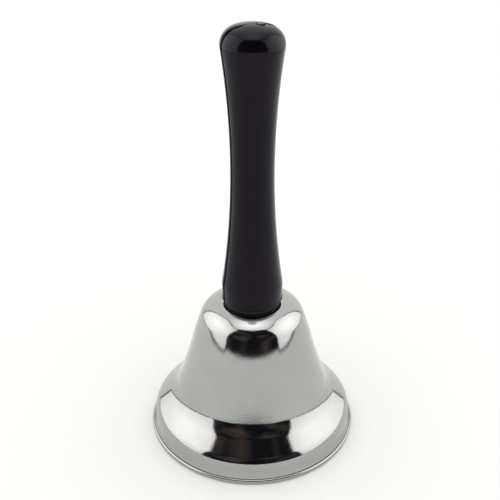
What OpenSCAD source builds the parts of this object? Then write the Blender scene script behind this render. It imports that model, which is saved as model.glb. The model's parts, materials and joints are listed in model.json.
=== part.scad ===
// Hand-held service bell: a pressed steel bell on a two-piece moulded handle.
// Millimetres, +Z up. The origin is the centre of the rim's resting face.
// The two handle halves meet on the plane y = 0.

/* [Bell] */
// Outside diameter of the rolled rim
rim_d = 66; // [65:0.5:68]
// Height of the rolled rim
rim_h = 1.6; // [1.4:0.1:2]
// Thickness of the steel
wall = 0.9; // [0.7:0.1:1.1]
// Diameter of the upright band above the rim
band_d = 63.5; // [63:0.5:65]
// Height at which the band turns into the skirt
roll_z = 5; // [4.8:0.1:5.2]
// Radius that turns the band into the skirt
roll_r = 4.8; // [4.6:0.1:5]
// Angle of the skirt from the upright
skirt_angle = 47; // [46:0.5:48]
// Length of the straight part of the skirt
skirt_l = 4.8; // [4.6:0.1:5]
// Radius of the hollow bend between skirt and flare
crease_r = 11; // [10:0.5:12]
// Angle of the flare's foot from the upright
flare_angle = 19.9; // [19:0.3:20.5]
// Radius of the flare, the long hollow curve of the lower cone
flare_r = 185; // [170:5:200]
// Angle of the cone from the upright where it is steepest
cone_angle = 14.5; // [14.2:0.1:14.8]
// Radius of the long bulging curve of the upper cone
neck_r = 75; // [72:1:78]
// Angle of the upper cone's top from the upright
neck_angle = 21.1; // [20.8:0.1:21.4]
// Radius of the shoulder
shoulder_r = 5.9; // [5.7:0.1:6.1]
// Radius of the domed crown
crown_r = 10; // [9.6:0.2:10.4]

/* [Handle] */
// Height of the handle's top above the rim
handle_top_z = 132; // [131:0.5:133]
// Diameter of the handle's foot
foot_d = 18.6; // [18:0.2:19]
// Diameter of the waist
waist_d = 12.8; // [12.4:0.2:13.4]
// Height of the waist
waist_z = 90.5; // [88:0.5:93]
// Radius of the long hollow curve of the grip
grip_r = 250; // [240:5:270]
// Radius of the edge round the domed top
knuckle_r = 5; // [4.6:0.1:5.2]
// Height of the centre of that edge
knuckle_z = 126.4; // [126.2:0.1:126.6]
// Thickness of the moulded wall
handle_wall = 2; // [1.6:0.2:2.4]

/* [Clapper] */
// Diameter of the clapper's ball
ball_d = 12; // [11:0.5:13]
// Height of the ball's centre with the bell upright
ball_z = 10.5; // [10:0.5:11]
// Diameter of the clapper's rod
rod_d = 2.2; // [2:0.1:2.4]
// Diameter of the wire in the loose link
link_wire_d = 1.4; // [1.2:0.1:1.6]
// Diameter of the wire in the fixed eye
eye_wire_d = 2; // [1.8:0.1:2.2]
// Play where one ring hangs in the next
link_play = 0.15; // [0.1:0.05:0.2]

/* [Hidden] */
$fn = 96;

ARC_STEPS = 10;
GRIP_STEPS = 28;
FLARE_STEPS = 6;
CUT = 0.01;

// Angles above level at which the shoulder turns into the crown, and the crown into the seat
crown_face = 49;
seat_face = 80;

// Bell: the centres of the arcs, as [radius from the axis, height]
roll_c = [band_d / 2 - roll_r, roll_z];
skirt_top = roll_c + roll_r * face(skirt_angle) + skirt_l * face(skirt_angle + 90);
crease_c = skirt_top + crease_r * face(skirt_angle);
flare_c = crease_c + (flare_r - crease_r) * face(flare_angle);
neck_c = flare_c - (flare_r + neck_r) * face(cone_angle);
shoulder_c = neck_c + (neck_r - shoulder_r) * face(neck_angle);
crown_c = shoulder_c + (shoulder_r - crown_r) * face(crown_face);
seat = crown_c + crown_r * face(seat_face);
rim_edge = 0.6;
rim_groove = 0.15;

// Screw stack through the crown
shank_d = 4;
crown_hole_d = 4.4;
gasket_t = 1.3;
gasket_d = foot_d - 1.4;
foot_z = seat.y + gasket_t;
washer_d = 12;
washer_hole_d = 4.3;
washer_t = 0.8;
lock_d = 7.2;
lock_t = 1;
lock_gap = 0.7;
nut_af = 7;
nut_h = 3.2;
washer_z = seat.y - wall - washer_t;
lock_z = washer_z - lock_t;
nut_z = lock_z - nut_h;
nut_to_eye = 0.55;

// Handle
foot_edge = 0.7;
grip_c = [waist_d / 2 + grip_r, waist_z];
foot_band_z = waist_z - sqrt(pow(grip_r, 2) - pow(grip_c.x - foot_d / 2, 2));
knuckle_c = [grip_c.x - sqrt(pow(grip_r + knuckle_r, 2) - pow(knuckle_z - waist_z, 2)), knuckle_z];
cap_rise = handle_top_z - knuckle_z;
cap_r = (pow(knuckle_c.x, 2) + pow(cap_rise, 2) - pow(knuckle_r, 2)) / (2 * (cap_rise - knuckle_r));
cap_c = [0, handle_top_z - cap_r];
cap_face = atan2(knuckle_c.y - cap_c.y, knuckle_c.x);
grip_end_face = atan2(knuckle_c.y - grip_c.y, grip_c.x - knuckle_c.x);
grip_foot_face = asin((waist_z - foot_band_z) / grip_r);
solid_foot_h = 15;
rib_t = 1.6;
RIB_HEIGHTS = [72, 84, 96, 108, 120];
BOSS_HEIGHTS = [66, 90, 114];
boss_d = 4.6;
dowel_d = 2.2;
dowel_l = 2.6;
dowel_play = 0.1;

// Threaded insert moulded round by the two halves
insert_d = 7;
insert_l = 10;
insert_z = foot_z + 1;
insert_groove_d = 5.8;
insert_groove_w = 2.4;

// Clapper chain, from the fixed eye down
eye_r = 2.4;
link_r = 3.2;
rod_eye_r = 2.3;
eye_z = nut_z - nut_to_eye - eye_r - eye_wire_d / 2;
link_top_z = eye_z - eye_r + eye_wire_d / 2 + link_play + link_wire_d / 2;
link_z = link_top_z - link_r;
rod_eye_z = link_z - link_r + link_wire_d / 2 + link_play + rod_d / 2 - rod_eye_r;
ball_flat = 0.5;
ball_bottom_z = ball_z - ball_d / 2 + ball_flat;
clapper_nut_af = 5;
clapper_nut_h = 1.8;
rod_end_z = ball_bottom_z - clapper_nut_h - 0.6;

// A unit vector in the [radius, height] plane, raised by the angle a
function face(a) = [cos(a), sin(a)];

// Points round the centre c at radius r, from angle a to angle b
function arc(c, r, a, b, steps = ARC_STEPS) =
    [for (i = [0:steps]) c + r * face(a + (b - a) * i / steps)];

// The bell's side from the band up to the crown seat, set inwards by t
function bell_side(t) = concat(
    arc(roll_c, roll_r - t, 0, skirt_angle),
    arc(crease_c, crease_r + t, 180 + skirt_angle, 180 + flare_angle),
    arc(flare_c, flare_r + t, 180 + flare_angle, 180 + cone_angle, FLARE_STEPS),
    arc(neck_c, neck_r - t, cone_angle, neck_angle, FLARE_STEPS),
    arc(shoulder_c, shoulder_r - t, neck_angle, crown_face),
    arc(crown_c, crown_r - t, crown_face, seat_face));

// The handle's side from the foot band up to the axis, set inwards by t
function handle_side(t) = concat(
    arc(grip_c, grip_r + t, 180 + grip_foot_face, 180 - grip_end_face, GRIP_STEPS),
    arc(knuckle_c, knuckle_r - t, -grip_end_face, cap_face),
    arc(cap_c, cap_r - t, cap_face, 90));

// Radius of the grip's hollow curve at height z, set inwards by t
function grip_at(z, t) = grip_c.x - sqrt(pow(grip_r + t, 2) - pow(z - waist_z, 2));

function reversed(list) = [for (i = [len(list) - 1:-1:0]) list[i]];

module ring(major_r, wire_r) {
    rotate_extrude() translate([major_r, 0]) circle(wire_r);
}

// Hexagonal nut with both faces chamfered, standing on z = 0
module hex_nut(af, h, hole_d) {
    corner_r = af / sqrt(3);
    chamfer = (corner_r - af / 2) * 0.5;
    difference() {
        intersection() {
            cylinder(h = h, r = corner_r, $fn = 6);
            rotate_extrude() polygon([[0, 0], [af / 2, 0], [corner_r, chamfer],
                                      [corner_r, h - chamfer], [af / 2, h], [0, h]]);
        }
        translate([0, 0, -CUT]) cylinder(h = h + 2 * CUT, d = hole_d);
    }
}

// Section of the rim: a flat-footed bead standing out from the band
function rolled_rim(outer_r, inner_r) = concat(
    [[band_d / 2, rim_h + rim_groove], [band_d / 2 - rim_groove, rim_h]],
    arc([outer_r - rim_edge, rim_h - rim_edge], rim_edge, 90, 0, 6),
    arc([outer_r - rim_edge, rim_edge], rim_edge, 0, -90, 6),
    arc([inner_r + rim_edge, rim_edge], rim_edge, 270, 180, 6));

module bell_shell() {
    color("silver") rotate_extrude() polygon(concat(
        [[crown_hole_d / 2, seat.y]],
        reversed(bell_side(0)),
        rolled_rim(rim_d / 2, band_d / 2 - wall),
        bell_side(wall),
        [[seat.x - wall, seat.y - wall], [crown_hole_d / 2, seat.y - wall]]));
}

module crown_gasket() {
    color([0.08, 0.08, 0.08]) translate([0, 0, seat.y]) difference() {
        cylinder(h = gasket_t, d = gasket_d);
        translate([0, 0, -CUT]) cylinder(h = gasket_t + 2 * CUT, d = crown_hole_d);
    }
}

// Half of the handle's wall and foot, on the +Y side
module handle_skin() {
    rotate_extrude(angle = 180) polygon(concat(
        [[0, foot_z]],
        arc([foot_d / 2 - foot_edge, foot_z + foot_edge], foot_edge, -90, 0, 4),
        handle_side(0)));
}

// Half of the hollow above the solid foot, set inwards by t
module handle_hollow(t) {
    floor_z = foot_z + solid_foot_h;
    intersection() {
        rotate_extrude(angle = 180) polygon(concat([[0, foot_band_z]], handle_side(t)));
        translate([-foot_d, -CUT, floor_z]) cube([2 * foot_d, foot_d, handle_top_z]);
    }
}

module handle_ribs() {
    for (z = RIB_HEIGHTS)
        translate([0, 0, z]) rotate_extrude(angle = 180)
            square([grip_at(z, handle_wall) + handle_wall / 3, rib_t]);
}

module handle_bosses() {
    for (z = BOSS_HEIGHTS)
        translate([0, 0, z]) rotate([-90, 0, 0])
            cylinder(h = grip_at(z, handle_wall / 2), d = boss_d);
}

// Pocket for the insert and the screw's point, on both sides of y = 0
module insert_pocket() {
    translate([0, 0, foot_z - CUT]) cylinder(h = insert_z - foot_z + 2 * CUT, d = crown_hole_d);
    threaded_insert_blank();
    translate([0, 0, insert_z]) cylinder(h = solid_foot_h, d = crown_hole_d);
}

module handle_half() {
    difference() {
        union() {
            difference() {
                handle_skin();
                handle_hollow(handle_wall);
            }
            handle_ribs();
            handle_bosses();
        }
        insert_pocket();
    }
}

module handle_front_half() {
    color([0.13, 0.12, 0.14]) {
        rotate([0, 0, 180]) handle_half();
        for (z = BOSS_HEIGHTS)
            translate([0, -CUT, z]) rotate([-90, 0, 0])
                cylinder(h = dowel_l + CUT, d = dowel_d);
    }
}

module handle_back_half() {
    color([0.16, 0.15, 0.17]) difference() {
        handle_half();
        for (z = BOSS_HEIGHTS)
            translate([0, -CUT, z]) rotate([-90, 0, 0])
                cylinder(h = dowel_l + dowel_play + CUT, d = dowel_d + 2 * dowel_play);
    }
}

// Outside of the insert, with the groove that locks it in the plastic
module threaded_insert_blank() {
    translate([0, 0, insert_z]) difference() {
        cylinder(h = insert_l, d = insert_d);
        translate([0, 0, (insert_l - insert_groove_w) / 2]) difference() {
            cylinder(h = insert_groove_w, d = insert_d + 1);
            translate([0, 0, -CUT]) cylinder(h = insert_groove_w + 2 * CUT, d = insert_groove_d);
        }
    }
}

module threaded_insert() {
    color("goldenrod") difference() {
        threaded_insert_blank();
        translate([0, 0, insert_z - CUT]) cylinder(h = insert_l + 2 * CUT, d = shank_d);
    }
}

module hanger_screw() {
    shank_bottom_z = eye_z + eye_r;
    shank_top_z = insert_z + insert_l - 1;
    color("lightgray") {
        translate([0, 0, shank_bottom_z]) cylinder(h = shank_top_z - shank_bottom_z, d = shank_d);
        translate([0, 0, eye_z]) rotate([90, 0, 0]) ring(eye_r, eye_wire_d / 2);
    }
}

module crown_washer() {
    color("gainsboro") translate([0, 0, washer_z]) difference() {
        cylinder(h = washer_t, d = washer_d);
        translate([0, 0, -CUT]) cylinder(h = washer_t + 2 * CUT, d = washer_hole_d);
    }
}

module lock_washer() {
    color("slategray") translate([0, 0, lock_z]) difference() {
        cylinder(h = lock_t, d = lock_d);
        translate([0, 0, -CUT]) cylinder(h = lock_t + 2 * CUT, d = washer_hole_d);
        translate([-lock_gap / 2, 0, -CUT]) cube([lock_gap, lock_d, lock_t + 2 * CUT]);
    }
}

module crown_nut() {
    color("lightgray") translate([0, 0, nut_z]) hex_nut(nut_af, nut_h, shank_d);
}

module clapper_link() {
    color("silver") translate([0, 0, link_z]) rotate([0, 90, 0]) ring(link_r, link_wire_d / 2);
}

module clapper_rod() {
    rod_top_z = rod_eye_z - rod_eye_r;
    color("gainsboro") {
        translate([0, 0, rod_end_z]) cylinder(h = rod_top_z - rod_end_z, d = rod_d);
        translate([0, 0, rod_eye_z]) rotate([90, 0, 0]) ring(rod_eye_r, rod_d / 2);
    }
}

module clapper_ball() {
    color("silver") difference() {
        translate([0, 0, ball_z]) sphere(d = ball_d);
        translate([0, 0, ball_z - ball_d]) cylinder(h = 2 * ball_d, d = rod_d);
        translate([0, 0, ball_bottom_z - ball_d]) cylinder(h = ball_d, d = ball_d);
    }
}

module clapper_nut() {
    color("lightgray") translate([0, 0, ball_bottom_z - clapper_nut_h])
        hex_nut(clapper_nut_af, clapper_nut_h, rod_d);
}

bell_shell();
crown_gasket();
handle_front_half();
handle_back_half();
threaded_insert();
hanger_screw();
crown_washer();
lock_washer();
crown_nut();
clapper_link();
clapper_rod();
clapper_ball();
clapper_nut();
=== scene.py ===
"""Looks of the service bell: its visible pieces, materials, studio and camera.

Lengths on the bell are in millimetres, and MM turns them into Blender's metres. Outlines are lists of
(radius from the axis, height above the table). A shape is a pair: its points, and its faces as point numbers.
"""
import json
import math

import bmesh
import bpy
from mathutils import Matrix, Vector


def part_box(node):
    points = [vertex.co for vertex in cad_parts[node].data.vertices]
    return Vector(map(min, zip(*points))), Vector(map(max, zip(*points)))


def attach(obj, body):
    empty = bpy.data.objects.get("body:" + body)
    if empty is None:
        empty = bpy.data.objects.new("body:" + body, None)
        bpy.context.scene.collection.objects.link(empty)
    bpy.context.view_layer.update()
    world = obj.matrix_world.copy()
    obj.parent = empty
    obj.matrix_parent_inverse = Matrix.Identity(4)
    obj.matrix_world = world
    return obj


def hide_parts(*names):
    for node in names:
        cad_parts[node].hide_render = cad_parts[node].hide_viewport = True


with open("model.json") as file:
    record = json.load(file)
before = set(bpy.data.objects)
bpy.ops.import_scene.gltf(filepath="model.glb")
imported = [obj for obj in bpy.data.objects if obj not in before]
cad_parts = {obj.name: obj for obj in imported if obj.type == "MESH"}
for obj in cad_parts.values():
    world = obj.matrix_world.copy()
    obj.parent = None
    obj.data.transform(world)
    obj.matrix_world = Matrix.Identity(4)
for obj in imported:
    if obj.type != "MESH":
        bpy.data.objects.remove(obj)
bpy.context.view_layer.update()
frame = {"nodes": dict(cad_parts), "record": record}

MM = 0.001
BODY_OF = {node: body for body, nodes in frame["record"]["behaviour"]["bodies"].items() for node in nodes}
SLOT_OF = {part["node"]: part["material_slot"] for part in frame["record"]["subparts"]}


# ---------------------------------------------------------------- sizes, in mm
def cad(node):
    """Lowest and highest corner of a CAD node, in mm."""
    low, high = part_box(node)
    return low / MM, high / MM


GASKET_LOW, GASKET_HIGH = cad("crown_gasket")
HANDLE_LOW, HANDLE_HIGH = cad("handle_back_half")
WASHER_LOW, WASHER_HIGH = cad("crown_washer")
LOCK_LOW, LOCK_HIGH = cad("lock_washer")
NUT_LOW, NUT_HIGH = cad("crown_nut")
SCREW_LOW, SCREW_HIGH = cad("hanger_screw")
LINK_LOW, LINK_HIGH = cad("clapper_link")
ROD_LOW, ROD_HIGH = cad("clapper_rod")
BALL_LOW, BALL_HIGH = cad("clapper_ball")
BALL_NUT_LOW, BALL_NUT_HIGH = cad("clapper_nut")

# Bell
RIM_R = cad("bell_shell")[1].x
RIM_H = 1.6
RIM_EDGE = 0.45
CREVICE = 0.15
WALL = 0.9
BAND_R = 31.75
BAND_FLARE = 0.6
ROLL_Z = 5
ROLL_R = 4.8
SKIRT = 47
SKIRT_L = 4.8
CREASE_R = 11
FLARE = 19.9
FLARE_R = 185
CONE = 14.5
NECK_R = 75
NECK = 21.1
SHOULDER_R = 5.9
CROWN_FACE = 49
CROWN_R = 10
SEAT_FACE = 80
CROWN_HOLE_R = 2.2
CROWN_FLAT_R = 4

# Handle
FOOT_R = HANDLE_HIGH.x
FOOT_Z = HANDLE_LOW.z
TOP_Z = HANDLE_HIGH.z
FOOT_EDGE = 0.28
FOOT_LIP = 0.14
FOOT_LIP_UP = 0.5
FOOT_FLAT_R = 5.5
FLOOR_FLAT_R = 3.5
WAIST_R = 6.4
WAIST_Z = 90.5
GRIP_R = 250
KNUCKLE_R = 5
KNUCKLE_Z = 126.4
HANDLE_WALL = 2
SOLID_FOOT = 15
SEAM_DEPTH = 0.95
SEAM_WIDTH = 0.95
SEAM_LEAST = 0.12
SEAM_FADE_FROM = 1.2
SEAM_FADE_OVER = 3.4
GATE_AT = Vector((2.06, -0.45))
GATE_R = 1.05
GATE_SINK = 0.03
GATE_MOAT = 0.3
GATE_MOAT_WIDTH = 0.75
GATE_REACH = 1.2
RIB_HEIGHTS = (72, 84, 96, 108, 120)
RIB_T = 1.6
RIB_BITE = 0.3
BOSS_HEIGHTS = (66, 90, 114)
BOSS_R = 2.3
DOWEL_R = 1.1
DOWEL_L = 2.6
DOWEL_PLAY = 0.1
PIN_R = 0.2

# Fixings and clapper chain
SHANK_R = 2.0
THREAD_PITCH = 0.7
THREAD_DEPTH = 0.3
THREAD_CLEAR = 0.01
WASHER_BORE_R = 2.15
NUT_AF = 7
EYE_R = 2.4
EYE_WIRE_R = 1.0
LINK_R = 3.2
LINK_WIRE_R = 0.7
ROD_R = 1.1
ROD_EYE_R = 2.3
ROD_PITCH = 0.45
ROD_THREAD_DEPTH = 0.17
BALL_R = BALL_HIGH.x
BALL_NUT_AF = 5

# Angles in degrees past which an edge stays sharp
SOFT_EDGES = 35
SOFTEST_EDGES = 50
SHARP_EDGES = 25


# ------------------------------------------------------------------- outlines
def face(angle):
    """Unit vector in the outline's plane, raised by angle degrees."""
    return Vector((math.cos(math.radians(angle)), math.sin(math.radians(angle))))


def arc(centre, radius, start, end, steps):
    """Points round centre from angle start to angle end, in degrees."""
    return [centre + radius * face(start + (end - start) * i / steps) for i in range(steps + 1)]


def between(start, end, steps):
    """Points between start and end, without the two ends."""
    return [start.lerp(end, i / steps) for i in range(1, steps)]


def curve(start, pull, push, end, steps):
    """Points of a Bezier curve, without its end."""
    points = []
    for i in range(steps):
        t = i / steps
        u = 1 - t
        points.append(u ** 3 * start + 3 * u ** 2 * t * pull + 3 * u * t * t * push + t ** 3 * end)
    return points


def bell_side(inset):
    """The bell's side from the band up to the crown seat, set inwards."""
    roll = Vector((BAND_R - ROLL_R, ROLL_Z))
    skirt_top = roll + ROLL_R * face(SKIRT) + SKIRT_L * face(SKIRT + 90)
    crease = skirt_top + CREASE_R * face(SKIRT)
    flare = crease + (FLARE_R - CREASE_R) * face(FLARE)
    neck = flare - (FLARE_R + NECK_R) * face(CONE)
    shoulder = neck + (NECK_R - SHOULDER_R) * face(NECK)
    crown = shoulder + (SHOULDER_R - CROWN_R) * face(CROWN_FACE)
    low = arc(roll, ROLL_R - inset, 0, SKIRT, 28)
    bend = arc(crease, CREASE_R + inset, 180 + SKIRT, 180 + FLARE, 28)
    return (low + between(low[-1], bend[0], 8) + bend
            + arc(flare, FLARE_R + inset, 180 + FLARE, 180 + CONE, 32)[1:]
            + arc(neck, NECK_R - inset, CONE, NECK, 24)[1:]
            + arc(shoulder, SHOULDER_R - inset, NECK, CROWN_FACE, 24)[1:]
            + arc(crown, CROWN_R - inset, CROWN_FACE, SEAT_FACE, 20)[1:])


def rolled_rim():
    """The band's flared foot, the crevice that rolling leaves, and the bead round to the inner wall."""
    drop = ROLL_Z - RIM_H - CREVICE
    band = [Vector((BAND_R + BAND_FLARE * (i / 8) ** 2, ROLL_Z - drop * i / 8)) for i in range(1, 9)]
    lip = BAND_R + BAND_FLARE + CREVICE
    bead = RIM_R - RIM_EDGE
    foot = BAND_R - WALL + RIM_EDGE
    return (band + [Vector((BAND_R + BAND_FLARE - 3 * CREVICE, RIM_H - CREVICE / 3))]
            + arc(Vector((lip, RIM_H - CREVICE)), CREVICE, 180, 90, 4)
            + arc(Vector((bead, RIM_H - RIM_EDGE)), RIM_EDGE, 90, 0, 8)
            + arc(Vector((bead, RIM_EDGE)), RIM_EDGE, 0, -90, 8)
            + arc(Vector((foot, RIM_EDGE)), RIM_EDGE, 270, 180, 8))


def grip_radius(height, inset):
    """Radius of the grip's hollow curve at a height, set inwards."""
    return WAIST_R + GRIP_R - math.sqrt((GRIP_R + inset) ** 2 - (height - WAIST_Z) ** 2)


def handle_side(inset):
    """The handle's side from its foot band up to the axis, set inwards."""
    grip = Vector((WAIST_R + GRIP_R, WAIST_Z))
    foot_face = math.degrees(math.acos((grip.x - FOOT_R) / GRIP_R))
    knuckle = Vector((grip.x - math.sqrt((GRIP_R + KNUCKLE_R) ** 2 - (KNUCKLE_Z - WAIST_Z) ** 2), KNUCKLE_Z))
    rise = TOP_Z - KNUCKLE_Z
    cap_r = (knuckle.x ** 2 + rise ** 2 - KNUCKLE_R ** 2) / (2 * (rise - KNUCKLE_R))
    cap = Vector((0, TOP_Z - cap_r))
    cap_face = math.degrees(math.atan2(knuckle.y - cap.y, knuckle.x))
    end_face = math.degrees(math.atan2(knuckle.y - WAIST_Z, grip.x - knuckle.x))
    return (arc(grip, GRIP_R + inset, 180 + foot_face, 180 - end_face, 96)
            + arc(knuckle, KNUCKLE_R - inset, -end_face, cap_face, 28)[1:]
            + arc(cap, cap_r - inset, cap_face, 90, 40)[1:])


def rounded_ring(inner_r, outer_r, low, high, edge, steps=4):
    """Section of a flat ring with all four edges rounded."""
    return (arc(Vector((outer_r - edge, low + edge)), edge, -90, 0, steps)
            + arc(Vector((outer_r - edge, high - edge)), edge, 0, 90, steps)
            + arc(Vector((inner_r + edge, high - edge)), edge, 90, 180, steps)
            + arc(Vector((inner_r + edge, low + edge)), edge, 180, 270, steps))


# --------------------------------------------------------------------- shapes
def polar(p, angle):
    """The outline's point p turned by angle degrees round the bell's axis."""
    turn = math.radians(angle)
    return Vector((p.x * math.cos(turn), p.x * math.sin(turn), p.y))


def grid_faces(rows, columns, wrap_rows, wrap_columns):
    """Quads over a grid of points stored row by row."""
    faces = []
    for i in range(rows if wrap_rows else rows - 1):
        for j in range(columns if wrap_columns else columns - 1):
            i2, j2 = (i + 1) % rows, (j + 1) % columns
            faces.append((i * columns + j, i2 * columns + j, i2 * columns + j2, i * columns + j2))
    return faces


def turned(outline, steps, closed=True):
    """An outline turned all the way round the axis."""
    points = [polar(p, 360 * j / steps) for p in outline for j in range(steps)]
    return points, grid_faces(len(outline), steps, closed, True)


def sector(rows, columns, point):
    """A closed section carried through part of a turn. point gives the place of a row and column."""
    points = [point(i, j) for i in range(rows) for j in range(columns)]
    ends = [tuple(range(0, rows * columns, columns)), tuple(range(columns - 1, rows * columns, columns))]
    return points, grid_faces(rows, columns, True, False) + ends


def tube(path, radius, sides=24, closed=False):
    """A tube along path. radius is a function of (point number, angle round the tube)."""
    count = len(path)
    tangents = []
    for i in range(count):
        before = path[i - 1] if closed or i else path[0]
        after = path[(i + 1) % count] if closed or i < count - 1 else path[-1]
        tangents.append((after - before).normalized())
    side = tangents[0].orthogonal().normalized()
    points = []
    for i in range(count):
        side = (side - tangents[i] * side.dot(tangents[i])).normalized()
        up = tangents[i].cross(side)
        for j in range(sides):
            a = 2 * math.pi * j / sides
            points.append(path[i] + radius(i, a) * (math.cos(a) * side + math.sin(a) * up))
    faces = grid_faces(count, sides, closed, True)
    if not closed:
        faces += [tuple(range(sides)), tuple(range((count - 1) * sides, count * sides))]
    return points, faces


def thread_cut(height, angle, pitch, depth):
    """How deep a screw thread cuts at a height along the screw and an angle round it, in radians."""
    turn = (height / pitch - angle / (2 * math.pi)) % 1
    return depth * min(1, 1.25 * (1 - abs(2 * turn - 1)))


def threaded_rod(low, high, r, pitch, depth, sides=40):
    """A rod on the axis with a screw thread and chamfered ends."""
    rows = round(8 * (high - low) / pitch)
    path = [Vector((0, 0, low + (high - low) * i / rows)) for i in range(rows + 1)]

    def radius(i, a):
        to_end = (high - low) * min(i, rows - i) / rows
        return min(r - thread_cut(path[i].z, a, pitch, depth), r - depth + to_end)

    return tube(path, radius, sides)


def hex_nut(across, low, high, bore_r, sides=96):
    """A hexagonal nut, chamfered on both faces, with a countersunk bore."""
    washer_face = 0.96
    edge_drop = 0.02
    flat = across / 2
    corner = across / math.sqrt(3)
    chamfer = (corner - flat) * 0.5
    sink = bore_r * 0.15
    points = []
    hexagon = [flat / math.cos(math.radians((360 * j / sides) % 60 - 30)) for j in range(sides)]
    face_r = flat * washer_face
    upper = ((high - sink, bore_r, 0), (high, bore_r + sink, 0), (high, face_r, 0), (high, None, -1))
    lower = ((low, None, 1), (low, face_r, 0), (low, bore_r + sink, 0), (low + sink, bore_r, 0))
    for height, radius, edge in upper + lower:
        for j in range(sides):
            r = radius or hexagon[j]
            drop = chamfer * (hexagon[j] - flat) / (corner - flat) + edge_drop if edge else 0
            points.append(polar(Vector((r, height + edge * drop)), 360 * j / sides))
    return points, grid_faces(8, sides, True, True)


def sideways(shape, height, side):
    """A shape on the axis laid over, so that its top points along side times +Y, at a height."""
    points, faces = shape
    return [Vector((p.x, side * p.z, height + p.y)) for p in points], faces


# ------------------------------------------------------------------ materials
def new_material(name):
    material = bpy.data.materials.new(name)
    material.use_nodes = True
    return material, material.node_tree.nodes, material.node_tree.links


def place(nodes, links, scale=(1, 1, 1)):
    """Object coordinates in mm, stretched by scale."""
    coords = nodes.new("ShaderNodeTexCoord")
    mapping = nodes.new("ShaderNodeMapping")
    mapping.inputs["Scale"].default_value = [s / MM for s in scale]
    links.new(coords.outputs["Object"], mapping.inputs["Vector"])
    return mapping.outputs["Vector"]


def noise(nodes, links, vector, scale, detail=2.0, roughness=0.5):
    """Noise with scale features to the mm."""
    made = nodes.new("ShaderNodeTexNoise")
    made.inputs["Scale"].default_value = scale
    made.inputs["Detail"].default_value = detail
    made.inputs["Roughness"].default_value = roughness
    links.new(vector, made.inputs["Vector"])
    return made.outputs["Fac"]


def spread(nodes, links, value, low, high, to_low, to_high):
    """value from low..high turned into to_low..to_high."""
    made = nodes.new("ShaderNodeMapRange")
    made.inputs["From Min"].default_value = low
    made.inputs["From Max"].default_value = high
    made.inputs["To Min"].default_value = to_low
    made.inputs["To Max"].default_value = to_high
    links.new(value, made.inputs["Value"])
    return made.outputs["Result"]


def tint(nodes, links, value, dark, light):
    """A colour from dark to light as value goes from 0 to 1."""
    made = nodes.new("ShaderNodeMix")
    made.data_type = "RGBA"
    made.inputs["A"].default_value = (*dark, 1)
    made.inputs["B"].default_value = (*light, 1)
    links.new(value, made.inputs["Factor"])
    return made.outputs["Result"]


def bump(nodes, links, height, depth, normal=None):
    """A bump of the given depth in mm, on top of another bump."""
    made = nodes.new("ShaderNodeBump")
    made.inputs["Strength"].default_value = 1
    made.inputs["Distance"].default_value = depth * MM
    links.new(height, made.inputs["Height"])
    if normal is not None:
        links.new(normal, made.inputs["Normal"])
    return made.outputs["Normal"]


def plated_metal(name, dark, light, rough, grain, grain_depth, wave_depth):
    """Plated metal: fine grain of the base metal under the plating, slight waves and haze."""
    material, nodes, links = new_material(name)
    shader = nodes["Principled BSDF"]
    shader.inputs["Metallic"].default_value = 1
    vector = place(nodes, links)
    haze = noise(nodes, links, vector, 0.11, 4, 0.6)
    links.new(tint(nodes, links, haze, dark, light), shader.inputs["Base Color"])
    specks = noise(nodes, links, vector, 1.6, 3, 0.65)
    links.new(spread(nodes, links, specks, 0.3, 0.75, rough[0], rough[1]), shader.inputs["Roughness"])
    normal = bump(nodes, links, noise(nodes, links, vector, grain, 2, 0.6), grain_depth)
    waves = noise(nodes, links, vector, 0.22, 2, 0.5)
    links.new(bump(nodes, links, waves, wave_depth, normal), shader.inputs["Normal"])
    return material


def brushed_steel(name, dark, light, rough, along=(1, 1, 1), depth=0.004):
    """Zinc or nickel plate over steel that keeps its tool marks, which run across the larger scale."""
    material, nodes, links = new_material(name)
    shader = nodes["Principled BSDF"]
    shader.inputs["Metallic"].default_value = 1
    patches = noise(nodes, links, place(nodes, links), 0.5, 4, 0.6)
    links.new(tint(nodes, links, patches, dark, light), shader.inputs["Base Color"])
    marks = noise(nodes, links, place(nodes, links, along), 3, 3, 0.6)
    links.new(spread(nodes, links, marks, 0.25, 0.75, rough[0], rough[1]), shader.inputs["Roughness"])
    links.new(bump(nodes, links, marks, depth), shader.inputs["Normal"])
    return material


def black_plastic():
    """Glossy black moulded plastic: slight orange peel, sink marks and fine rubbed scratches."""
    material, nodes, links = new_material("handle_black")
    shader = nodes["Principled BSDF"]
    shader.inputs["IOR"].default_value = 1.45
    shader.inputs["Specular IOR Level"].default_value = 0.22
    shader.inputs["Specular Tint"].default_value = (0.92, 0.84, 1, 1)
    vector = place(nodes, links)
    cloud = noise(nodes, links, vector, 0.15, 3, 0.5)
    links.new(tint(nodes, links, cloud, (0.0018, 0.001, 0.0028), (0.003, 0.002, 0.0042)),
              shader.inputs["Base Color"])
    rub = noise(nodes, links, place(nodes, links, (1, 1, 0.15)), 2.4, 4, 0.65)
    links.new(spread(nodes, links, rub, 0.3, 0.8, 0.13, 0.22), shader.inputs["Roughness"])
    peel = bump(nodes, links, noise(nodes, links, vector, 0.3, 1, 0.4), 0.012)
    links.new(bump(nodes, links, noise(nodes, links, vector, 5, 2, 0.5), 0.0008, peel),
              shader.inputs["Normal"])
    return material


def black_rubber():
    material, nodes, links = new_material("gasket_rubber")
    shader = nodes["Principled BSDF"]
    vector = place(nodes, links)
    grain = noise(nodes, links, vector, 1.2, 3)
    colour = tint(nodes, links, grain, (0.008, 0.008, 0.008), (0.02, 0.02, 0.02))
    links.new(colour, shader.inputs["Base Color"])
    shader.inputs["Roughness"].default_value = 0.75
    links.new(bump(nodes, links, noise(nodes, links, vector, 4, 3), 0.02), shader.inputs["Normal"])
    return material


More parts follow.
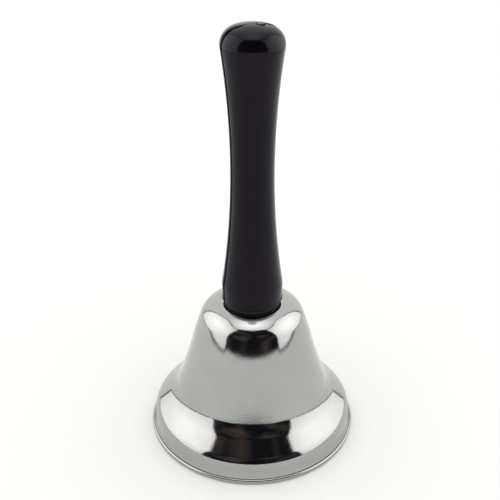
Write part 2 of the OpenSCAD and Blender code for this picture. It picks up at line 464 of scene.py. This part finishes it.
def turned_brass():
    """Brass with the rings that turning leaves."""
    material, nodes, links = new_material("insert_brass")
    shader = nodes["Principled BSDF"]
    shader.inputs["Metallic"].default_value = 1
    rings = noise(nodes, links, place(nodes, links, (0.1, 0.1, 6)), 1, 2)
    links.new(tint(nodes, links, rings, (0.58, 0.4, 0.16), (0.76, 0.56, 0.28)), shader.inputs["Base Color"])
    links.new(spread(nodes, links, rings, 0.3, 0.7, 0.25, 0.4), shader.inputs["Roughness"])
    links.new(bump(nodes, links, rings, 0.01), shader.inputs["Normal"])
    return material


CHROME = plated_metal("shell_chrome", (0.37, 0.37, 0.36), (0.43, 0.43, 0.42),
                      rough=(0.05, 0.11), grain=2.0, grain_depth=0.01, wave_depth=0.008)
CHROME_INSIDE = plated_metal("shell_inside", (0.34, 0.34, 0.335), (0.42, 0.42, 0.41),
                             rough=(0.22, 0.4), grain=1.5, grain_depth=0.02, wave_depth=0.02)
BALL_NICKEL = plated_metal("ball_nickel", (0.5, 0.49, 0.47), (0.56, 0.55, 0.53),
                           rough=(0.12, 0.24), grain=1.5, grain_depth=0.008, wave_depth=0.03)
ZINC = brushed_steel("zinc_plate", (0.42, 0.43, 0.44), (0.58, 0.59, 0.6), (0.22, 0.42))
SPRING = brushed_steel("spring_steel", (0.2, 0.205, 0.215), (0.32, 0.325, 0.335), (0.3, 0.5))
WIRE = brushed_steel("drawn_wire", (0.48, 0.48, 0.47), (0.6, 0.6, 0.59), (0.16, 0.32),
                     along=(3, 3, 0.3), depth=0.003)
MATERIALS = {
    "shell": [CHROME, CHROME_INSIDE],
    "gasket": [black_rubber()],
    "handle": [black_plastic()],
    "insert": [turned_brass()],
    "fixings": [ZINC],
    "spring_steel": [SPRING],
    "wire": [WIRE],
    "ball": [BALL_NICKEL],
}


# --------------------------------------------------------------------- pieces
def make_object(name, shapes, materials, scale, smooth_angle):
    """A mesh object from shapes, smooth except at edges sharper than smooth_angle.

    With several materials, each shape takes its own.
    """
    work = bmesh.new()
    for index, (points, faces) in enumerate(shapes):
        corners = [work.verts.new(p * scale) for p in points]
        for corner_numbers in faces:
            made = work.faces.new([corners[i] for i in corner_numbers])
            made.material_index = index if len(materials) > 1 else 0
    bmesh.ops.remove_doubles(work, verts=work.verts, dist=1e-7)
    bmesh.ops.recalc_face_normals(work, faces=work.faces)
    mesh = bpy.data.meshes.new(name)
    work.to_mesh(mesh)
    work.free()
    mesh.shade_smooth()
    mesh.set_sharp_from_angle(angle=math.radians(smooth_angle))
    for material in materials:
        mesh.materials.append(material)
    made = bpy.data.objects.new(name, mesh)
    bpy.context.scene.collection.objects.link(made)
    return made


def piece(name, node, shapes, smooth_angle=SOFT_EDGES):
    """A piece that stands for one CAD node and rides on that node's body."""
    made = make_object(name, shapes, MATERIALS[SLOT_OF[node]], MM, smooth_angle)
    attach(made, BODY_OF[node])
    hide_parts(node)


def build_shell():
    """The chrome bell. Its inner faces, from the rim's foot up, are less bright."""
    steps = 240
    side = bell_side(0)[::-1]
    top = side[0].y
    under = top - WALL
    outside = [Vector((CROWN_HOLE_R, top)), Vector((CROWN_FLAT_R, top))] + side + rolled_rim()
    inside = [outside[-1]] + bell_side(WALL)
    inside += [Vector((r, under)) for r in (side[0].x - WALL, CROWN_FLAT_R, CROWN_HOLE_R)]
    inside.append(outside[0])
    piece("shell_pressing", "bell_shell", [turned(outside, steps, False), turned(inside, steps, False)])


def build_gasket():
    low, high = GASKET_LOW.z, GASKET_HIGH.z
    edge = (high - low) * 0.4
    section = rounded_ring(CROWN_HOLE_R, GASKET_HIGH.x, low, high, edge)
    piece("packing_washer", "crown_gasket", [turned(section, 96)])


def handle_angles():
    """Angles in degrees through one half, close together at its two seams."""
    near = [0, 0.2, 0.5, 0.9, 1.4, 2, 2.7, 3.5, 4.4, 5.4, 6.5, 7.7, 9]
    steps = 84
    middle = [near[-1] + (180 - 2 * near[-1]) * i / steps for i in range(1, steps)]
    return near + middle + [180 - a for a in reversed(near)]


def seam_inset(distance, radius):
    """How far the outside sinks at a distance from the seam. The seam closes up towards the domed end."""
    size = min(1, max(SEAM_LEAST, (radius - SEAM_FADE_FROM) / SEAM_FADE_OVER))
    t = 1 - distance / (SEAM_WIDTH * size)
    if t <= 0:
        return 0.0
    return SEAM_DEPTH * size * t ** 1.2


def gate_rise(at, height):
    """How far the dome rises at a place: the moulding gate's cut stub, and a shallow moat round it."""
    distance = (at - GATE_AT).length
    if distance < GATE_R:
        return TOP_Z - GATE_SINK - height
    fade = (distance - GATE_R) / GATE_MOAT_WIDTH
    return -GATE_MOAT * max(0.0, 1 - fade) ** 1.5


def outline_normals(outline):
    """Unit vectors out of an outline that runs upwards on the right of the axis."""
    normals = []
    for k in range(len(outline)):
        along = outline[min(k + 1, len(outline) - 1)] - outline[max(k - 1, 0)]
        normals.append(Vector((along.y, -along.x)).normalized())
    return normals


def handle_skin(start):
    """Half of the handle's hollow moulding, from angle start on, with its seam's groove and gate mark."""
    foot = arc(Vector((FOOT_R - FOOT_EDGE, FOOT_Z + FOOT_EDGE)), FOOT_EDGE, -90, 0, 8)
    lip = Vector((FOOT_R - FOOT_LIP, FOOT_Z + FOOT_LIP_UP))
    foot += arc(lip, FOOT_LIP, 0, 80, 5) + [lip + Vector((0, 3 * FOOT_LIP))]
    outside = [Vector((CROWN_HOLE_R, FOOT_Z)), Vector((FOOT_FLAT_R, FOOT_Z))] + foot + handle_side(0)
    floor = FOOT_Z + SOLID_FOOT
    inside = [p for p in handle_side(HANDLE_WALL) if p.y > floor][::-1]
    inside += [Vector((r, floor)) for r in (inside[-1].x, FLOOR_FLAT_R, CROWN_HOLE_R)]
    section = outside + inside
    normals = outline_normals(outside)
    angles = handle_angles()

    def point(i, j):
        p = section[i]
        if 1 < i < len(outside):
            p = p - seam_inset(p.x * math.sin(math.radians(angles[j])), p.x) * normals[i]
        made = polar(Vector((max(0, p.x), p.y)), start + angles[j])
        if i < len(outside) and p.y > TOP_Z - GATE_REACH:
            made.z += gate_rise(made.xy, p.y)
        return made

    return sector(len(section), len(angles), point)


def rib(height, start):
    """A half disc across the hollow handle."""
    r = grip_radius(height, HANDLE_WALL) + RIB_BITE
    top = height + RIB_T
    section = [Vector((0, height)), Vector((r, height)), Vector((r, top)), Vector((0, top))]
    steps = 24
    from_seam = 1
    turn = 180 - 2 * from_seam
    first = start + from_seam
    return sector(len(section), steps + 1, lambda i, j: polar(section[i], first + turn * j / steps))


def handle_half(name, node, start, side):
    """One half of the handle: its skin, ribs and bosses, and the front half's dowels."""
    shapes = [handle_skin(start)]
    shapes += [rib(height, start) for height in RIB_HEIGHTS]
    for height in BOSS_HEIGHTS:
        far = grip_radius(height, HANDLE_WALL) + RIB_BITE
        bore = PIN_R if side < 0 else DOWEL_R + DOWEL_PLAY
        shapes.append(sideways(turned(rounded_ring(bore, BOSS_R, 0, far, 0.1), 32), height, side))
        if side < 0:
            dowel = rounded_ring(PIN_R, DOWEL_R, 0, DOWEL_L, 0.19)
            shapes.append(sideways(turned(dowel, 32), height, 1))
    piece(name, node, shapes, SOFTEST_EDGES)


def build_screw():
    """The screw through the crown, with a thread and a forged eye at its lower end."""
    eye_z = SCREW_LOW.z + EYE_R + EYE_WIRE_R
    neck_z = eye_z + EYE_R
    ring = [Vector((EYE_R * math.sin(a), 0, eye_z + EYE_R * math.cos(a)))
            for a in (2 * math.pi * i / 64 for i in range(64))]
    heights = [neck_z - 0.2 + 0.1 * i for i in range(11)]
    neck = [Vector((0, 0, z)) for z in heights]
    flare = [min(SHANK_R - THREAD_DEPTH, EYE_WIRE_R * 0.95 + 0.8 * (i / 8) ** 2) for i in range(11)]
    thread_low = heights[-1] - 0.15
    thread = threaded_rod(thread_low, SCREW_HIGH.z, SHANK_R - THREAD_CLEAR, THREAD_PITCH, THREAD_DEPTH)
    shapes = [thread, tube(neck, lambda i, a: flare[i], 40), tube(ring, lambda i, a: EYE_WIRE_R, 24, True)]
    piece("eye_screw", "hanger_screw", shapes, SOFTEST_EDGES)


def build_lock_washer():
    """A split ring whose two ends stand a little apart in height."""
    low, high = LOCK_LOW.z, LOCK_HIGH.z
    lift = (high - low) * 0.14
    section = rounded_ring(WASHER_BORE_R, LOCK_HIGH.x, low, high - lift, 0.08, 2)
    columns = 73
    half_gap = 7

    def point(i, j):
        t = j / (columns - 1)
        return polar(section[i] + Vector((0, lift * t)), 90 + half_gap + (360 - 2 * half_gap) * t)

    piece("split_washer", "lock_washer", [sector(len(section), columns, point)])


def build_fixings():
    washer = rounded_ring(WASHER_BORE_R, WASHER_HIGH.x, WASHER_LOW.z, WASHER_HIGH.z, 0.18)
    piece("plain_washer", "crown_washer", [turned(washer, 96)])
    crown_nut = hex_nut(NUT_AF, NUT_LOW.z, NUT_HIGH.z, SHANK_R)
    piece("crown_hex_nut", "crown_nut", [crown_nut], SHARP_EDGES)
    ball_nut = hex_nut(BALL_NUT_AF, BALL_NUT_LOW.z, BALL_NUT_HIGH.z, ROD_R)
    piece("ball_hex_nut", "clapper_nut", [ball_nut], SHARP_EDGES)


def build_link():
    """A ring of bent wire whose ends butt together at the back."""
    middle = (LINK_LOW.z + LINK_HIGH.z) / 2
    steps = 72
    half_gap = 1.2
    end_chamfer = 0.08
    bend = [math.radians(half_gap + (360 - 2 * half_gap) * i / steps) for i in range(steps + 1)]
    path = [Vector((0, LINK_R * math.cos(a), middle + LINK_R * math.sin(a))) for a in bend]
    wire = tube(path, lambda i, a: LINK_WIRE_R - (end_chamfer if i in (0, steps) else 0))
    piece("chain_link", "clapper_link", [wire])


def build_rod():
    """The clapper's rod: wire bent round into an eye at its top, and threaded at its foot."""
    eye_z = ROD_HIGH.z - ROD_EYE_R - ROD_R
    thread_top = BALL_LOW.z + 0.3
    eye_start, eye_end = -65, 214
    steps = 60
    loop = [eye_start + (eye_end - eye_start) * i / steps for i in range(steps + 1)]
    eye = [Vector((ROD_EYE_R * face(a).x, 0, eye_z + ROD_EYE_R * face(a).y)) for a in loop]
    foot = Vector((0, 0, thread_top - 0.2))
    leave = Vector((0, 0, eye_z - ROD_EYE_R - 2.2))
    pull = leave + Vector((0, 0, 1.5))
    back = eye[0] - Vector((-face(eye_start).y, 0, face(eye_start).x)) * 0.8
    path = [foot] + between(foot, leave, 8) + curve(leave, pull, back, eye[0], 12) + eye
    last = len(path) - 1
    end_chamfer = 0.15
    wire = tube(path, lambda i, a: ROD_R - (end_chamfer if i == last else 0))
    thread = threaded_rod(ROD_LOW.z, thread_top, ROD_R - THREAD_CLEAR, ROD_PITCH, ROD_THREAD_DEPTH, 32)
    piece("eye_rod", "clapper_rod", [wire, thread], SOFTEST_EDGES)


def build_ball():
    """The clapper's ball, bored for the rod, with a flat for the nut."""
    middle = BALL_HIGH.z - BALL_R
    flat = BALL_LOW.z - middle
    bore = ROD_R + 0.03
    chamfer = 0.25
    flat_face = math.degrees(math.asin(flat / BALL_R))
    bore_face = math.degrees(math.acos((bore + 0.3) / BALL_R))
    outline = ([Vector((bore, BALL_LOW.z + chamfer)), Vector((bore + chamfer, BALL_LOW.z))]
               + arc(Vector((0, middle)), BALL_R, flat_face, bore_face, 64)
               + [Vector((bore, BALL_HIGH.z - 0.5))])
    piece("striking_ball", "clapper_ball", [turned(outline, 128)])


build_shell()
build_gasket()
handle_half("handle_half_front", "handle_front_half", 180, -1)
handle_half("handle_half_back", "handle_back_half", 0, 1)
build_screw()
build_lock_washer()
build_fixings()
build_link()
build_rod()
build_ball()
insert = frame["nodes"]["threaded_insert"].data
insert.materials.clear()
insert.materials.append(MATERIALS["insert"][0])


# ---------------------------------------------------------- studio, in metres
VIEW_AZIMUTH = -20
CAMERA_OUT = 0.235
CAMERA_UP = 0.1976
AIM_UP = 0.0634
AIM_LEFT = 0.0007
LENS = 64.8
OPENING = 51
OPENING_DISTANCE = 0.9
OPENING_TOP = 2.4
SOFTBOX_DISTANCE = 0.34
SOFTBOX_NEAR = 52
SOFTBOX_FAR = 133
SOFTBOX_TOP = 61
SOFTBOX_FACES = 93
SHOULDER_UP = 0.042
OVERHEAD_UP = 1.0
OVERHEAD_R = 0.55
OVERHEAD_CUT = 0.25
FLOOR_HALF = 4
SOFTBOX_LOW = 0.012
SOFTBOX_CORNER = 10
SOFTBOX_CORNER_CURVE = 0.35
SOFTBOX_FRAME = 2
FRAME_LOW = 0.001
HOT_SPOT_AZIMUTH = 98
HOT_SPOT_UP = 0.3


def around(azimuth, distance, height):
    """A point at an azimuth from the camera's side of the bell: 0 is the camera's, 90 its right."""
    a = math.radians(VIEW_AZIMUTH + azimuth)
    return Vector((math.sin(a) * distance, -math.cos(a) * distance, height))


def emission(name):
    """A glowing material, and the shader node to set."""
    material, nodes, links = new_material(name)
    nodes.remove(nodes["Principled BSDF"])
    glow = nodes.new("ShaderNodeEmission")
    links.new(glow.outputs["Emission"], nodes["Material Output"].inputs["Surface"])
    return material, nodes, links, glow


def dim_room():
    """The unlit room beyond the tent's opening, a little brighter in places."""
    material, nodes, links, glow = emission("dim_room")
    coords = nodes.new("ShaderNodeTexCoord")
    shapes = noise(nodes, links, coords.outputs["Object"], 2.2, 2, 0.5)
    lit = spread(nodes, links, shapes, 0.45, 0.7, 0, 1)
    links.new(tint(nodes, links, lit, (0.012, 0.012, 0.018), (0.1, 0.075, 0.065)), glow.inputs["Color"])
    return material


def softbox_cloth(name, hot_spot, bright, dull):
    """Lit cloth that is brightest at its hot spot."""
    material, nodes, links, glow = emission(name)
    coords = nodes.new("ShaderNodeTexCoord")
    away = nodes.new("ShaderNodeVectorMath")
    away.operation = "DISTANCE"
    away.inputs[1].default_value = hot_spot
    links.new(coords.outputs["Object"], away.inputs[0])
    links.new(spread(nodes, links, away.outputs["Value"], 0.05, 0.45, bright, dull), glow.inputs["Strength"])
    return material


def plain_glow(name, strength):
    material, _, _, glow = emission(name)
    glow.inputs["Strength"].default_value = strength
    return material


def stage_piece(name, shape, material):
    """A piece of the studio that is seen in reflections only."""
    made = make_object(name, [shape], [material], 1, SOFT_EDGES)
    made.visible_camera = False
    made.visible_shadow = False
    made.visible_diffuse = False


def softbox_shape(side, grow):
    """A flat upright light with a rounded corner at its far top, made grow degrees larger all round."""
    steps = 40
    points = []
    for i in range(steps + 1):
        t = i / steps
        azimuth = SOFTBOX_NEAR - grow + (SOFTBOX_FAR - SOFTBOX_NEAR + 2 * grow) * t
        top = (SOFTBOX_TOP + grow) * (1 - t ** SOFTBOX_CORNER) ** SOFTBOX_CORNER_CURVE
        distance = (SOFTBOX_DISTANCE + 0.002 * grow) / math.cos(math.radians(azimuth - SOFTBOX_FACES))
        bottom = SOFTBOX_LOW if grow == 0 else FRAME_LOW
        height = SHOULDER_UP + distance * math.tan(math.radians(top))
        points.append(around(side * azimuth, distance, bottom))
        points.append(around(side * azimuth, distance, bottom + height))
    return points, grid_faces(steps + 1, 2, False, False)


def opening_shape():
    half = 12
    points = []
    for i in range(2 * half + 1):
        azimuth = OPENING * (i / half - 1)
        points.append(around(azimuth, OPENING_DISTANCE, FRAME_LOW))
        points.append(around(azimuth, OPENING_DISTANCE, OPENING_TOP))
    return points, grid_faces(2 * half + 1, 2, False, False)


def overhead_shape():
    """A disc of cloth above the bell, cut back on the camera's side."""
    points = []
    steps = 48
    for i in range(steps):
        azimuth = 360 / steps * i
        cut = max(0, math.cos(math.radians(azimuth))) ** 2 * OVERHEAD_CUT
        points.append(around(azimuth, OVERHEAD_R - cut, OVERHEAD_UP))
    return points, [tuple(range(steps))]


def build_floor():
    material, nodes, links = new_material("floor_card")
    shader = nodes["Principled BSDF"]
    shader.inputs["Roughness"].default_value = 0.9
    shader.inputs["Specular IOR Level"].default_value = 0.1
    fibres = noise(nodes, links, place(nodes, links), 0.02, 2)
    colour = tint(nodes, links, fibres, (0.89, 0.89, 0.885), (0.91, 0.91, 0.905))
    links.new(colour, shader.inputs["Base Color"])
    signs = ((-1, -1), (1, -1), (1, 1), (-1, 1))
    corners = [Vector((x * FLOOR_HALF, y * FLOOR_HALF, 0)) for x, y in signs]
    floor = make_object("floor", [(corners, [(0, 1, 2, 3)])], [material], 1, SOFT_EDGES)


def build_world():
    world = bpy.data.worlds.new("tent")
    world.use_nodes = True
    background = world.node_tree.nodes["Background"]
    background.inputs["Color"].default_value = (1, 1, 0.985, 1)
    background.inputs["Strength"].default_value = 1.14
    bpy.context.scene.world = world


def build_camera():
    data = bpy.data.cameras.new("camera")
    data.lens = LENS
    data.clip_start = 0.01
    data.clip_end = 20
    camera = bpy.data.objects.new("camera", data)
    bpy.context.scene.collection.objects.link(camera)
    camera.location = around(0, CAMERA_OUT, CAMERA_UP)
    aim = around(90, -AIM_LEFT, AIM_UP)
    camera.rotation_euler = (aim - camera.location).to_track_quat("-Z", "Y").to_euler()
    bpy.context.scene.camera = camera


build_floor()
build_world()
build_camera()
stage_piece("studio_opening", opening_shape(), dim_room())
OVERHEAD_CLOTH = softbox_cloth("overhead_cloth", around(0, 0, OVERHEAD_UP), bright=2.5, dull=1.3)
stage_piece("overhead", overhead_shape(), OVERHEAD_CLOTH)
FRAME_BLACK = plain_glow("softbox_frame", 0.03)
for side, word in ((-1, "left"), (1, "right")):
    hot_spot = around(side * HOT_SPOT_AZIMUTH, SOFTBOX_DISTANCE, HOT_SPOT_UP)
    cloth = softbox_cloth(f"softbox_{word}_cloth", hot_spot, bright=2.5, dull=1.35)
    stage_piece(f"softbox_{word}", softbox_shape(side, 0), cloth)
    stage_piece(f"softbox_{word}_frame", softbox_shape(side, SOFTBOX_FRAME), FRAME_BLACK)
bpy.context.scene.view_settings.view_transform = "Standard"

bpy.context.view_layer.update()
